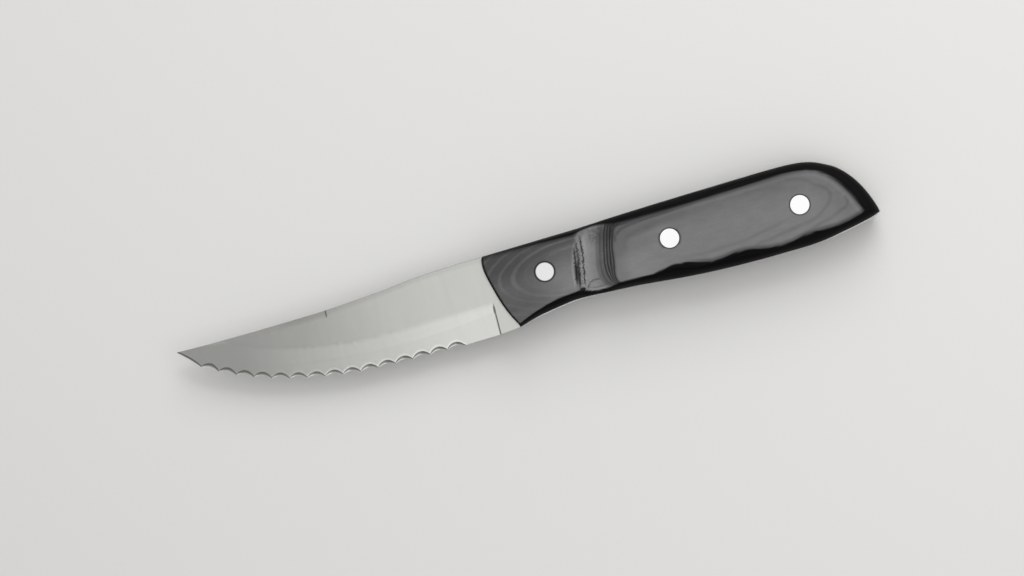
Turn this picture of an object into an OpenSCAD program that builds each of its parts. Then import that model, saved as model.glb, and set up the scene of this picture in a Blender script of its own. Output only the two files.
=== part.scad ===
// Serrated steak knife with a full tang, two handle scales and three cutler's rivets.
// It lies on its right scale. +X runs to the butt, +Y to the spine, +Z to the left side.
// Outlines are drawn from the shoulder, where the spine meets the handle.

/* [Blade] */
// Length of the blade from the shoulder to the point
blade_l = 107.4; // [80:0.2:140]
// Depth of the blade from spine to edge at the shoulder
blade_w = 27; // [23:0.5:31]
// Thickness of the steel, blade and tang alike
steel_t = 2.2; // [1.8:0.1:3]
// Thickness left behind the ground edge
edge_t = 0.1; // [0.06:0.02:0.2]
// Height of the flat grind above the edge
grind_w = 10.2; // [8:0.2:12]
// Distance of the plunge line in front of the shoulder
plunge_gap = 0.2; // [0.1:0.1:3]
// Length of the false edge along the spine, back from the point
swedge_l = 51.8; // [30:0.2:64]
// Width of the false edge on each face
swedge_w = 1.8; // [1:0.1:2.6]
// Thickness of the spine left by the false edge
swedge_t = 1.3; // [0.8:0.1:1.6]

/* [Serration] */
// Length of one scallop along the edge
tooth_pitch = 6; // [4.5:0.1:8]
// Depth of a scallop in the edge line
tooth_rise = 0.85; // [0.5:0.05:1.1]
// Depth of the last long scallop, which runs to the point
point_rise = 0.25; // [0.1:0.05:0.5]
// Tilt of the grinding wheel from the blade's flat, in degrees
wheel_tilt = 19; // [17:1:26]
// Length of plain edge in front of the plunge line
plain_l = 13.1; // [6:0.1:30]
// Least length of edge left for the last long scallop
point_l = 9; // [6:0.5:14]

/* [Handle] */
// Length of the handle from the shoulder to the butt
handle_l = 133.4; // [110:0.2:150]
// Depth of the handle, the size that its outline follows
handle_w = 24; // [21:0.5:28]
// Thickness of each scale at its flat faces
scale_t = 7; // [5.5:0.5:9]
// Height of the upright side of a scale, under its rounding
side_h = 1.4; // [0.8:0.1:2.4]
// How far the tang's edge stands out past the scales
tang_show = 0.3; // [0.1:0.1:0.8]
// How far the front edge of a scale bows towards the blade
front_bow = 2.1; // [0:0.1:3]
// Length of the slope from the front rivet down to the blade
taper_l = 15; // [10:0.5:15]
// Drop of that slope at the front edge
taper_drop = 1.5; // [0.5:0.1:2.5]
// Depth of the finger groove across a scale
groove_depth = 1.8; // [0.8:0.1:2.6]
// Depth of the finger hollows in the lower corner
finger_rise = 1.7; // [0.6:0.1:2]

/* [Rivets] */
// Diameter of a rivet head
head_d = 6.6; // [6:0.1:8]
// Thickness of a rivet head
head_h = 1.6; // [1.2:0.1:2.4]
// Outer diameter of the female half's tube
tube_d = 4.8; // [4.2:0.1:5.4]
// Diameter of the male half's pin
pin_d = 3.2; // [2.6:0.1:3.6]
// Clearance all round a head, a tube and a pin
rivet_gap = 0.05; // [0.02:0.01:0.1]
// Space left beyond the end of a tube and of a pin
rivet_slack = 1; // [0.5:0.1:1.5]

/* [Hidden] */
$fn = 96;

// Amount by which every cut runs past the face that it opens
overrun = 0.6;
// Points worked out between two drawn points of an outline, and of the handle's surface
curve_steps = 3;
surface_steps = 4;
// Points across the rounding at each side of a scale, and across its face
round_steps = 5;
face_steps = 10;

// Spine from the shoulder to the point, as shares of the blade's length and depth
spine_shares = [
    [0, 0.002], [0.075, -0.006], [0.13, -0.017], [0.19, -0.03], [0.26, -0.058],
    [0.3, -0.081], [0.35, -0.102], [0.41, -0.122], [0.47, -0.142], [0.52, -0.156],
    [0.61, -0.17], [0.73, -0.185], [0.84, -0.195], [0.93, -0.199], [1, -0.2]
];
// Edge through the tips of the teeth, from the plunge line to the point, in the same shares
edge_shares = [
    [0, -0.989], [0.11, -1.007], [0.23, -1.015], [0.345, -1.015], [0.455, -1.003],
    [0.565, -0.952], [0.675, -0.865], [0.78, -0.741], [0.88, -0.572], [0.94, -0.436],
    [1, -0.2]
];
// Upper line of the tang from the shoulder to the butt, as shares of the handle's length and depth
tang_top_shares = [
    [0, 0.004], [0.06, 0.017], [0.12, 0.029], [0.18, 0.041], [0.24, 0.053],
    [0.285, 0.067], [0.33, 0.083], [0.375, 0.096], [0.45, 0.116], [0.525, 0.134],
    [0.6, 0.154], [0.675, 0.177], [0.735, 0.19], [0.78, 0.194], [0.81, 0.19],
    [0.84, 0.173], [0.87, 0.129], [0.89, 0.078], [0.915, 0.002], [0.938, -0.11],
    [0.96, -0.262], [0.975, -0.405], [0.987, -0.555], [0.996, -0.7], [1, -0.78]
];
// Lower line of the tang from the heel to the butt, in the same shares
tang_low_shares = [
    [0.05, -1.086], [0.075, -1.045], [0.105, -1.008], [0.135, -0.978], [0.165, -0.95],
    [0.195, -0.926], [0.225, -0.915], [0.255, -0.913], [0.3, -0.92], [0.36, -0.932],
    [0.42, -0.958], [0.48, -0.984], [0.54, -1.002], [0.615, -1.012], [0.69, -1.011],
    [0.75, -1.003], [0.81, -0.992], [0.855, -0.972], [0.9, -0.93], [0.945, -0.877],
    [0.982, -0.823], [1, -0.78]
];
// Places along the handle where a line across it meets the tang's upper and lower line
station_shares = [
    [0, 0.05], [0.06, 0.092], [0.128, 0.138], [0.192, 0.175], [0.236, 0.197],
    [0.264, 0.225], [0.302, 0.263], [0.343, 0.304], [0.39, 0.372], [0.465, 0.465],
    [0.555, 0.555], [0.645, 0.645], [0.735, 0.727], [0.802, 0.795], [0.855, 0.847],
    [0.896, 0.892], [0.93, 0.926], [0.96, 0.956], [0.984, 0.979], [0.997, 0.997]
];
// Upper border of a scale's face on those lines, as shares of the handle's length and depth
face_top_shares = [
    [0, -0.03], [0.06, -0.026], [0.128, -0.02], [0.192, -0.014], [0.236, -0.012],
    [0.264, -0.01], [0.302, -0.02], [0.343, -0.06], [0.39, -0.06], [0.465, -0.044],
    [0.555, -0.022], [0.645, 0.002], [0.735, 0.024], [0.788, 0.021], [0.827, -0.002],
    [0.858, -0.045], [0.887, -0.13], [0.912, -0.275], [0.932, -0.46], [0.948, -0.63]
];
// Lower border of a scale's face on the same lines
face_low_shares = [
    [0.05, -1.03], [0.088, -0.93], [0.138, -0.832], [0.175, -0.79], [0.197, -0.78],
    [0.225, -0.755], [0.263, -0.715], [0.304, -0.795], [0.372, -0.812], [0.465, -0.838],
    [0.555, -0.862], [0.645, -0.872], [0.727, -0.87], [0.795, -0.854], [0.845, -0.828],
    [0.884, -0.8], [0.911, -0.768], [0.931, -0.737], [0.944, -0.71], [0.95, -0.675]
];
// Finger groove as shares of the handle's length: top and foot of its front wall,
// foot and top of its rear ramp, and its lean along X for each unit down
groove_shares = [0.218, 0.246, 0.284, 0.322];
groove_lean = 0.16;
// Depth on the handle where the leaning groove keeps its stated place
groove_level_share = -0.415;
// Where the groove's upper end and its ramp's lower end start and stop bending towards the
// butt, as shares of the handle's depth, and how far they bend, as shares of its length
top_bend_shares = [-0.19, 0.02, 0.022];
low_bend_shares = [-0.65, -0.85, 0.012];
// Hollows in the lower corner: place, half length and depth, as shares of the handle's length
// and of the hollow's full depth
finger_shares = [[0.465, 0.062, 1.2], [0.645, 0.062, 0.85], [0.81, 0.054, 0.65]];
// Rivets as shares of the handle's length and depth
rivet_shares = [[0.143, -0.418], [0.467, -0.402], [0.804, -0.404]];
// Half height of the flat round the front rivet, and of the slope beside it, as shares of the depth
flat_share = 0.19;
slope_share = 0.25;
// Power of the front slope's curve
taper_power = 0.8;

total_t = 2 * scale_t + steel_t;
edge_half = edge_t / 2;
half_t = steel_t / 2;
grind_slope = (half_t - edge_half) / grind_w;

// Smooth curve through the given points, with the same number of steps between each two
function chord(p, i) = norm(p[i + 1] - p[i]);
function heading(p, i) = (p[i + 1] - p[i]) / chord(p, i);
function pull(p, i) =
    i == 0 ? heading(p, 0) :
    i == len(p) - 1 ? heading(p, i - 1) :
    (chord(p, i) * heading(p, i - 1) + chord(p, i - 1) * heading(p, i))
        / (chord(p, i - 1) + chord(p, i));
function blend(a, b, ta, tb, s) =
    a * (2 * s * s * s - 3 * s * s + 1) + ta * (s * s * s - 2 * s * s + s)
        + b * (3 * s * s - 2 * s * s * s) + tb * (s * s * s - s * s);
function through(p, steps) = [
    for (i = [0 : len(p) - 2])
        for (k = [0 : i == len(p) - 2 ? steps : steps - 1])
            blend(p[i], p[i + 1], pull(p, i) * chord(p, i), pull(p, i + 1) * chord(p, i), k / steps)
];
function sized(shares, l, w) = [for (s = shares) [s[0] * l, s[1] * w]];
function turned(p) = [for (i = [len(p) - 1 : -1 : 0]) p[i]];
function clamp(x) = min(1, max(0, x));
function smooth(x) = clamp(x) * clamp(x) * (3 - 2 * clamp(x));

// Drawn lines at their real size
spine = through(sized(spine_shares, -blade_l, blade_w), curve_steps);
edge = through(sized(edge_shares, -blade_l, blade_w), curve_steps);
tang_top = through(sized(tang_top_shares, handle_l, handle_w), curve_steps);
tang_low = through(sized(tang_low_shares, handle_l, handle_w), curve_steps);
silhouette = concat(
    turned(spine),
    tang_top,
    [for (i = [len(tang_low) - 2 : -1 : 0]) tang_low[i]],
    [for (i = [0 : len(edge) - 2]) edge[i]]
);

// Length along the edge up to each of its points, and the point at a given length
edge_runs = [
    for (i = 0, run = 0;
        i < len(edge);
        run = run + (i < len(edge) - 1 ? chord(edge, i) : 0), i = i + 1) run
];
edge_len = edge_runs[len(edge) - 1];
function on_edge(run) = [
    lookup(run, [for (i = [0 : len(edge) - 1]) [edge_runs[i], edge[i][0]]]),
    lookup(run, [for (i = [0 : len(edge) - 1]) [edge_runs[i], edge[i][1]]])
];
// Direction square to a line at one of its points, to the right on the way along it
function square_to(p, i) =
    let (a = p[max(0, i - 1)], b = p[min(len(p) - 1, i + 1)])
        [b[1] - a[1], a[0] - b[0]] / norm(b - a);

// Tips of the teeth, and a last place just past the point of the blade
teeth = floor((edge_len - plain_l - point_l) / tooth_pitch);
past_point = on_edge(edge_len) + overrun * heading(edge, len(edge) - 2);
tips = [for (i = [0 : teeth + 1]) i <= teeth ? on_edge(plain_l + i * tooth_pitch) : past_point];

// The origin is under the middle of the whole knife
shoulder_x = (blade_l - handle_l) / 2;
highest = max([for (p = concat(tang_top, spine)) p[1]]);
lowest = min([for (p = concat(tips, [edge[0]], tang_low)) p[1]]);
shoulder_y = -(highest + lowest) / 2;
module place(z) {
    translate([shoulder_x, shoulder_y, z]) children();
}

// Line of the scale's foot: the tang's line moved inwards, with side 1 on top and -1 below
probe = handle_l / 500;
function rise_at(line, x) = (lookup(x + probe, line) - lookup(x - probe, line)) / (2 * probe);
function foot(line, x, side) =
    let (s = rise_at(line, x))
        [x, lookup(x, line)] + tang_show * side * [s, -1] / norm([s, 1]);

// Height of a scale's face at a place on it: front slope, then the leaning groove
rivets = sized(rivet_shares, handle_l, handle_w);
function front_drop(x, y) =
    let (
        a = clamp((taper_l - x) / taper_l),
        b = clamp((abs(y - rivets[0][1]) - flat_share * handle_w) / (slope_share * handle_w)),
        fade = clamp(1 - x / (groove_shares[0] * handle_l))
    )
        taper_drop * pow(a * a + b * b * fade, taper_power);
function bend(y, shares) =
    shares[2] * pow(clamp((y / handle_w - shares[0]) / (shares[1] - shares[0])), 2);
function groove(x, y) =
    let (
        lean = groove_lean * (y - groove_level_share * handle_w),
        wall = (x - lean) / handle_l - bend(y, top_bend_shares),
        ramp = wall - bend(y, low_bend_shares)
    )
        groove_depth
            * smooth((wall - groove_shares[0]) / (groove_shares[1] - groove_shares[0]))
            * smooth((groove_shares[3] - ramp) / (groove_shares[3] - groove_shares[2]));
function face_z(x, y) = scale_t - front_drop(x, y) - groove(x, y);
function hollow(x) = finger_rise * max([
    for (f = finger_shares)
        let (d = (x / handle_l - f[0]) / f[1]) abs(d) < 1 ? f[2] * pow(cos(90 * d), 2) : 0
]);

// Lines across the handle, from the foot below, over the face, to the foot above. The first
// of them bow towards the blade, flatter at the middle than at the ends, by these powers.
stations = through(sized(station_shares, handle_l, handle_l), surface_steps);
face_top = through(sized(face_top_shares, handle_l, handle_w), surface_steps);
face_low = through(sized(face_low_shares, handle_l, handle_w), surface_steps);
bow_lines = 4 * surface_steps;
low_bow_power = 2.5;
top_bow_power = 4;
function across(i) =
    let (
        low = foot(tang_low, stations[i][1], -1),
        top = foot(tang_top, stations[i][0], 1),
        low_in = face_low[i] + [0, hollow(face_low[i][0])],
        top_in = face_top[i],
        bow = front_bow * pow(clamp(1 - i / bow_lines), 2)
    )
        concat(
            [for (k = [0 : round_steps - 1])
                rounded_point(low, low_in, k / round_steps, low, top, bow)],
            [for (k = [0 : face_steps])
                bowed(low_in + (top_in - low_in) * k / face_steps, 1, low, top, bow)],
            [for (k = [round_steps - 1 : -1 : 0])
                rounded_point(top, top_in, k / round_steps, low, top, bow)]
        );
// A point of the rounding: even turns of a quarter ellipse, from upright to level
function rounded_point(outer, inner, turn, low, top, bow) =
    bowed(outer + (inner - outer) * (1 - cos(90 * turn)), sin(90 * turn), low, top, bow);
function bowed(p, lift, low, top, bow) =
    let (
        t = clamp((p[1] - low[1]) / (top[1] - low[1])),
        x = p[0] - bow * (1 - pow(abs(2 * t - 1), t < 0.5 ? low_bow_power : top_bow_power))
    )
        [x, p[1], side_h + (face_z(x, p[1]) - side_h) * lift];

// One scale with its flat back at zero, as a closed surface. The last line across closes
// on itself along the ridge from the face's rear corner to the butt.
rows = len(stations);
cols = 2 * round_steps + face_steps + 1;
skin = [for (i = [0 : rows - 1]) each across(i)];
function spot(i, j) = i * cols + (i < rows - 1 ? j : min(j, cols - 1 - j, round_steps));
rim = concat(
    [for (i = [0 : rows - 1]) spot(i, 0)],
    [for (i = [rows - 2 : -1 : 0]) spot(i, cols - 1)],
    [for (j = [cols - 2 : -1 : 1]) spot(0, j)]
);
back = rows * cols;
function low_back(i) = back + i;
function top_back(i) = back + 2 * rows - 2 - i;
hub = back + len(rim);
hub_corners = [skin[spot(0, 0)], skin[spot(0, cols - 1)], skin[spot(1, 0)], skin[spot(1, cols - 1)]];
hub_place = (hub_corners[0] + hub_corners[1] + hub_corners[2] + hub_corners[3]) / len(hub_corners);
scale_points = concat(
    skin,
    [for (n = rim) [skin[n][0], skin[n][1], 0]],
    [[hub_place[0], hub_place[1], 0]]
);
scale_faces = [
    for (f = concat(
        [for (i = [0 : rows - 2]) for (j = [0 : cols - 2])
            [spot(i, j), spot(i + 1, j + 1), spot(i + 1, j)]],
        [for (i = [0 : rows - 2]) for (j = [0 : cols - 2])
            [spot(i, j), spot(i, j + 1), spot(i + 1, j + 1)]],
        [for (n = [0 : len(rim) - 1]) [rim[n], rim[(n + 1) % len(rim)], back + n]],
        [for (n = [0 : len(rim) - 1]) let (m = (n + 1) % len(rim)) [rim[m], back + m, back + n]],
        [for (i = [1 : rows - 2]) [low_back(i), low_back(i + 1), top_back(i + 1)]],
        [for (i = [1 : rows - 2]) [low_back(i), top_back(i + 1), top_back(i)]],
        [for (n = [2 * rows - 3 : len(rim) - 1]) [back + n, back + (n + 1) % len(rim), hub]],
        [[low_back(0), low_back(1), hub], [low_back(1), top_back(1), hub]]
    ))
        if (f[0] != f[1] && f[1] != f[2] && f[2] != f[0]) f
];

// Holes of a scale: one through for the tube, and one seat for the head at each rivet
module scale_body() {
    difference() {
        polyhedron(points = scale_points, faces = scale_faces, convexity = 6);
        for (r = rivets) {
            translate([r[0], r[1], -overrun])
                cylinder(d = tube_d + 2 * rivet_gap, h = scale_t + 2 * overrun);
            translate([r[0], r[1], scale_t - head_h])
                cylinder(d = head_d + 2 * rivet_gap, h = head_h + overrun);
        }
    }
}

// A wedge that bevels one face of the steel: it leaves thin_z at the outer line
// and comes out at the full thickness at the inner line
module bevel_cut(outer, inner, thin_z, spread) {
    ring = 4;
    count = len(outer);
    points = [
        for (i = [0 : count - 1])
            let (
                near = inner[i] + (outer[i] - inner[i]) * (1 + spread),
                far = inner[i] - (outer[i] - inner[i]) * spread,
                near_z = half_t + (thin_z - half_t) * (1 + spread),
                far_z = half_t - (thin_z - half_t) * spread
            )
                each [
                    [near[0], near[1], near_z],
                    [far[0], far[1], far_z],
                    [far[0], far[1], half_t + overrun],
                    [near[0], near[1], half_t + overrun]
                ]
    ];
    faces = concat(
        [for (i = [0 : count - 2]) for (k = [0 : ring - 1])
            let (m = (k + 1) % ring) [i * ring + k, i * ring + m, (i + 1) * ring + m]],
        [for (i = [0 : count - 2]) for (k = [0 : ring - 1])
            let (m = (k + 1) % ring) [i * ring + k, (i + 1) * ring + m, (i + 1) * ring + k]],
        [[3, 2, 1, 0]],
        [[for (k = [0 : ring - 1]) (count - 1) * ring + k]]
    );
    polyhedron(points = points, faces = faces, convexity = 4);
}

// Primary grind along the edge, from the plunge line past the point. The spreads say how far
// each wedge runs on past its two lines, as a share of its width.
grind_spread = 0.2;
module grind_cut() {
    outer = concat([edge[0] - [plunge_gap, 0]], [for (i = [1 : len(edge) - 1]) edge[i]], [past_point]);
    inner = [for (i = [0 : len(outer) - 1]) outer[i] + grind_w * square_to(outer, i)];
    bevel_cut(outer, inner, edge_half, grind_spread);
}

// False edge along the spine, from the point back to its own short plunge mark
swedge_spread = 0.4;
swedge_steps = 12;
module swedge_cut() {
    outer = [
        for (i = [0 : swedge_steps])
            let (x = (swedge_l + overrun) * i / swedge_steps - overrun - blade_l)
                [x, lookup(x, spine)]
    ];
    inner = [for (i = [0 : swedge_steps]) outer[i] + swedge_w * square_to(outer, i)];
    bevel_cut(outer, inner, swedge_t / 2, swedge_spread);
}

// One scallop of the serration, cut into the left face by a tilted wheel between two teeth
module scallop_cut(a, b, rise) {
    span = norm(b - a);
    mid = (a + b) / 2;
    sag = rise * (sin(wheel_tilt) + grind_slope * cos(wheel_tilt));
    wheel_r = (span * span / 4 + sag * sag) / (2 * sag);
    reach = 2 * grind_w;
    translate([mid[0], mid[1], 0])
        rotate([0, 0, atan2(a[1] - b[1], a[0] - b[0])])
            rotate([wheel_tilt - 90, 0, 0])
                translate([0, sag + edge_half * cos(wheel_tilt) - wheel_r, -reach / 2])
                    cylinder(r = wheel_r, h = reach);
}

module blade_tang() {
    color([0.79, 0.79, 0.78])
        place(scale_t + half_t)
            difference() {
                translate([0, 0, -half_t])
                    linear_extrude(height = steel_t)
                        polygon(silhouette);
                grind_cut();
                mirror([0, 0, 1]) grind_cut();
                swedge_cut();
                mirror([0, 0, 1]) swedge_cut();
                for (i = [0 : teeth])
                    scallop_cut(tips[i], tips[i + 1], i < teeth ? tooth_rise : point_rise);
                for (r = rivets)
                    translate([r[0], r[1], -half_t - overrun])
                        cylinder(d = tube_d + 2 * rivet_gap, h = steel_t + 2 * overrun);
            }
}

module scale_left() {
    color([0.42, 0.42, 0.43])
        place(scale_t + steel_t)
            scale_body();
}

module scale_right() {
    color([0.36, 0.36, 0.37])
        place(scale_t)
            mirror([0, 0, 1]) scale_body();
}

// Male half: a head flush with the left face and a pin that presses into the tube
module rivet_male(at) {
    color([0.93, 0.93, 0.92])
        place(0)
            translate([at[0], at[1], 0]) {
                translate([0, 0, total_t - head_h])
                    cylinder(d = head_d, h = head_h);
                translate([0, 0, head_h + rivet_slack])
                    cylinder(d = pin_d, h = total_t - 2 * head_h - rivet_slack);
            }
}

// Female half: a head flush with the right face and a tube, open at its far end
module rivet_female(at) {
    color([0.86, 0.86, 0.85])
        place(0)
            translate([at[0], at[1], 0])
                difference() {
                    union() {
                        cylinder(d = head_d, h = head_h);
                        cylinder(d = tube_d, h = total_t - head_h - rivet_slack);
                    }
                    translate([0, 0, head_h])
                        cylinder(d = pin_d + 2 * rivet_gap, h = total_t);
                }
}

module front_rivet_male() { rivet_male(rivets[0]); }
module front_rivet_female() { rivet_female(rivets[0]); }
module middle_rivet_male() { rivet_male(rivets[1]); }
module middle_rivet_female() { rivet_female(rivets[1]); }
module rear_rivet_male() { rivet_male(rivets[2]); }
module rear_rivet_female() { rivet_female(rivets[2]); }

blade_tang();
scale_left();
scale_right();
front_rivet_male();
front_rivet_female();
middle_rivet_male();
middle_rivet_female();
rear_rivet_male();
rear_rivet_female();
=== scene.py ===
import math

import bpy
import numpy as np
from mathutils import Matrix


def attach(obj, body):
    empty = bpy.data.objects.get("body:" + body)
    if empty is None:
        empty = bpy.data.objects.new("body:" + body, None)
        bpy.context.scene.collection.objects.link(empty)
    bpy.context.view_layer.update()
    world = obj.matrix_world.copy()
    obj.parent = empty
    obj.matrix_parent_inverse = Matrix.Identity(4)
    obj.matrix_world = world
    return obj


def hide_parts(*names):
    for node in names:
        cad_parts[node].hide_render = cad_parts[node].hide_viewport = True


# Steak knife lying on its right scale. Drawn lengths are millimetres, measured from the shoulder
# where spine and handle meet: u runs to the butt and v to the spine.

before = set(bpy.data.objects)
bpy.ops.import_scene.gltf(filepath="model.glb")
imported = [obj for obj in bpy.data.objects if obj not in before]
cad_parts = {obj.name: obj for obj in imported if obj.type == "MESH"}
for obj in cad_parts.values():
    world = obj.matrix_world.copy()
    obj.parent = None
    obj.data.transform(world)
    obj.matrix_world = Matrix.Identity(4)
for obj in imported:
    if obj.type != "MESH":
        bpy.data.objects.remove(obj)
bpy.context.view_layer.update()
print("frame loaded,", len(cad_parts), "nodes")

farAway = 1e9  # further than anything on the knife
perMetre = 1000.0  # millimetres in a metre
creaseAngle = math.radians(28)  # faces that meet at more than this keep a sharp edge

blade = {
    "length": 107.4, "width": 27, "thickness": 2.2, "edgeLeft": 0.1, "grind": 10.2, "plungeGap": 0.2,
    "swedgeLength": 51.8, "swedgeWidth": 1.8, "swedgeLeft": 1.3,
    "notchSlope": 10,  # behind the false edge
    "pitch": 6, "rise": 0.85, "pointRise": 0.25, "plain": 13.1, "pointLeft": 9,
    "wheelTilt": 19, "wheelReach": 0.95, "pastPoint": 0.6,
    "breakEdge": 0.14,  # rounding of the spine and of the tang's rim
    "wallWidth": 0.3,  # width over which the two plunge walls fall
    "leastLeft": 0.02,  # least thickness that the grinding leaves
    # columns, with the butt's distances to the last even one, the first drawn one and the last
    "step": 0.45, "samplesPerTooth": 28, "wallCells": 3, "leastColumn": 0.04, "pointGap": 0.25,
    "buttColumns": (8, 12, 0.02), "nearStep": 6,
    # rows, and where the blade's give way to the tang's
    "edgeRows": 27, "bodyRows": 24, "edgeZone": 3.2, "edgeShare": 0.45, "rimShare": 0.02,
    "rowsChange": (0.5, 7.5),
    "spine": [
        (0, 0.002), (0.075, -0.006), (0.13, -0.017), (0.19, -0.03), (0.26, -0.058), (0.3, -0.081),
        (0.35, -0.102), (0.41, -0.122), (0.47, -0.142), (0.52, -0.156), (0.61, -0.17), (0.73, -0.185),
        (0.84, -0.195), (0.93, -0.199), (1, -0.2)],
    "edge": [
        (0, -0.989), (0.11, -1.007), (0.23, -1.015), (0.345, -1.015), (0.455, -1.003), (0.565, -0.952),
        (0.675, -0.865), (0.78, -0.741), (0.88, -0.572), (0.94, -0.436), (1, -0.2)],
}
handle = {
    "length": 133.4, "width": 24, "scale": 7, "side": 1.4,
    # front end: the bow of its first lines, then its slope
    "bow": 2.1, "bowStations": 4, "bowPowers": (2.5, 4), "taperLength": 15, "taperDrop": 1.5,
    "taperPower": 0.8, "flat": 0.19, "slope": 0.25,
    "grooveDepth": 1.8, "groove": (0.218, 0.246, 0.284, 0.322), "grooveLean": 0.16, "grooveLevel": -0.415,
    "topBend": (-0.19, 0.02, 0.022), "lowBend": (-0.65, -0.85, 0.012),
    "fingerRise": 1.7, "fingers": [(0.465, 0.062, 1.2), (0.645, 0.062, 0.85), (0.81, 0.054, 0.65)],
    # soft upper border behind the groove
    "rollDrop": 0.5, "rollWidth": 3.2, "rollSpan": (41, 47, 72, 98),
    "rowsPerStation": 17, "roundCells": 12, "faceCells": 72,
    "probe": 0.2668,  # reach over which a border's slope is taken
    "tangTop": [
        (0, 0.004), (0.06, 0.017), (0.12, 0.029), (0.18, 0.041), (0.24, 0.053), (0.285, 0.067),
        (0.33, 0.083), (0.375, 0.096), (0.45, 0.116), (0.525, 0.134), (0.6, 0.154), (0.675, 0.177),
        (0.735, 0.19), (0.78, 0.194), (0.81, 0.19), (0.84, 0.173), (0.87, 0.129), (0.89, 0.078),
        (0.915, 0.002), (0.938, -0.11), (0.96, -0.262), (0.975, -0.405), (0.987, -0.555), (0.996, -0.7),
        (1, -0.78)],
    "tangLow": [
        (0.05, -1.086), (0.075, -1.045), (0.105, -1.008), (0.135, -0.978), (0.165, -0.95),
        (0.195, -0.926), (0.225, -0.915), (0.255, -0.913), (0.3, -0.92), (0.36, -0.932), (0.42, -0.958),
        (0.48, -0.984), (0.54, -1.002), (0.615, -1.012), (0.69, -1.011), (0.75, -1.003), (0.81, -0.992),
        (0.855, -0.972), (0.9, -0.93), (0.945, -0.877), (0.982, -0.823), (1, -0.78)],
    "stations": [
        (0, 0.05), (0.06, 0.092), (0.128, 0.138), (0.192, 0.175), (0.236, 0.197), (0.264, 0.225),
        (0.302, 0.263), (0.343, 0.304), (0.39, 0.372), (0.465, 0.465), (0.555, 0.555), (0.645, 0.645),
        (0.735, 0.727), (0.802, 0.795), (0.855, 0.847), (0.896, 0.892), (0.93, 0.926), (0.96, 0.956),
        (0.984, 0.979), (0.997, 0.997)],
    "faceTop": [
        (0, -0.03), (0.06, -0.026), (0.128, -0.02), (0.192, -0.014), (0.236, -0.012), (0.264, -0.01),
        (0.302, -0.02), (0.343, -0.06), (0.39, -0.06), (0.465, -0.044), (0.555, -0.022), (0.645, 0.002),
        (0.735, 0.024), (0.788, 0.021), (0.827, -0.002), (0.858, -0.045), (0.887, -0.13), (0.912, -0.275),
        (0.932, -0.46), (0.948, -0.63)],
    "faceLow": [
        (0.05, -1.03), (0.088, -0.93), (0.138, -0.832), (0.175, -0.79), (0.197, -0.78), (0.225, -0.755),
        (0.263, -0.715), (0.304, -0.795), (0.372, -0.812), (0.465, -0.838), (0.555, -0.862),
        (0.645, -0.872), (0.727, -0.87), (0.795, -0.854), (0.845, -0.828), (0.884, -0.8), (0.911, -0.768),
        (0.931, -0.737), (0.944, -0.71), (0.95, -0.675)],
    # where the bright rim of the tang shows: u, and how far it stands out past the scale
    "showTop": ([0, 72, 92, 134], [0.06, 0.08, 0.36, 0.36]),
    "showLow": ([0, 9, 15, 27, 37, 108, 118, 134], [0.06, 0.1, 0.36, 0.36, 0.05, 0.05, 0.38, 0.38]),
}
rivet = {
    "head": 6.6, "headHeight": 1.6, "tube": 4.8, "pin": 3.2, "gap": 0.05, "slack": 1,
    "chamfer": 0.09, "seatChamfer": 0.12, "turns": 72,
    # circles on the head: shares of its radius, and distances from its rim
    "crownShares": (0, 0.3, 0.55), "crownRims": (0.4, 0.27, 0.17),
    "places": [(0.143, -0.418), (0.467, -0.402), (0.804, -0.404)],
}


def clamp(a):
    return np.clip(a, 0, 1)


def smooth(a):
    # Cubic step: three times the square less twice the cube, held between nought and one
    a = clamp(a)
    return a * a * (3 - 2 * a)


def rise(a, low, high):
    # Smooth step from nought at low to one at high
    return smooth((a - low) / (high - low))


def heightAt(u, line):
    return np.interp(u, line[:, 0], line[:, 1])


def window(a, start, full, fading, end):
    # Step up from start to full times a step down from fading to end
    return rise(a, start, full) * rise(a, end, fading)


def through(shares, length, width, steps):
    # Curve through every drawn point. On each span it is the cubic with the two ends' places and
    # tangents; a tangent is the mean of the two neighbouring unit directions, each weighted by the
    # length of the other chord, times the length of the span's own chord
    points = np.array(shares, float) * (length, width)
    chords = np.diff(points, axis=0)
    lengths = np.linalg.norm(chords, axis=1)[:, None]
    headings = chords / lengths
    inner = (lengths[1:] * headings[:-1] + lengths[:-1] * headings[1:]) / (lengths[1:] + lengths[:-1])
    pulls = np.vstack([headings[:1], inner, headings[-1:]])
    s = (np.arange(steps) / steps)[None, :, None]
    a, b = points[:-1, None], points[1:, None]
    pullA, pullB = (pulls[:-1] * lengths)[:, None], (pulls[1:] * lengths)[:, None]
    curve = (a * (2 * s**3 - 3 * s**2 + 1) + pullA * (s**3 - 2 * s**2 + s)
             + b * (3 * s**2 - 2 * s**3) + pullB * (s**3 - s**2))
    return np.vstack([curve.reshape(-1, 2), points[-1:]])


curveSteps = {"spine": 12, "edge": 24, "tang": 10, "lines": 8, "layers": 6}
bladeSpine = through(blade["spine"], -blade["length"], blade["width"], curveSteps["spine"])
bladeEdge = through(blade["edge"], -blade["length"], blade["width"], curveSteps["edge"])
tangTop = through(handle["tangTop"], handle["length"], handle["width"], curveSteps["tang"])
tangLow = through(handle["tangLow"], handle["length"], handle["width"], curveSteps["tang"])
rivetPlaces = np.array(rivet["places"]) * (handle["length"], handle["width"])


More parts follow.
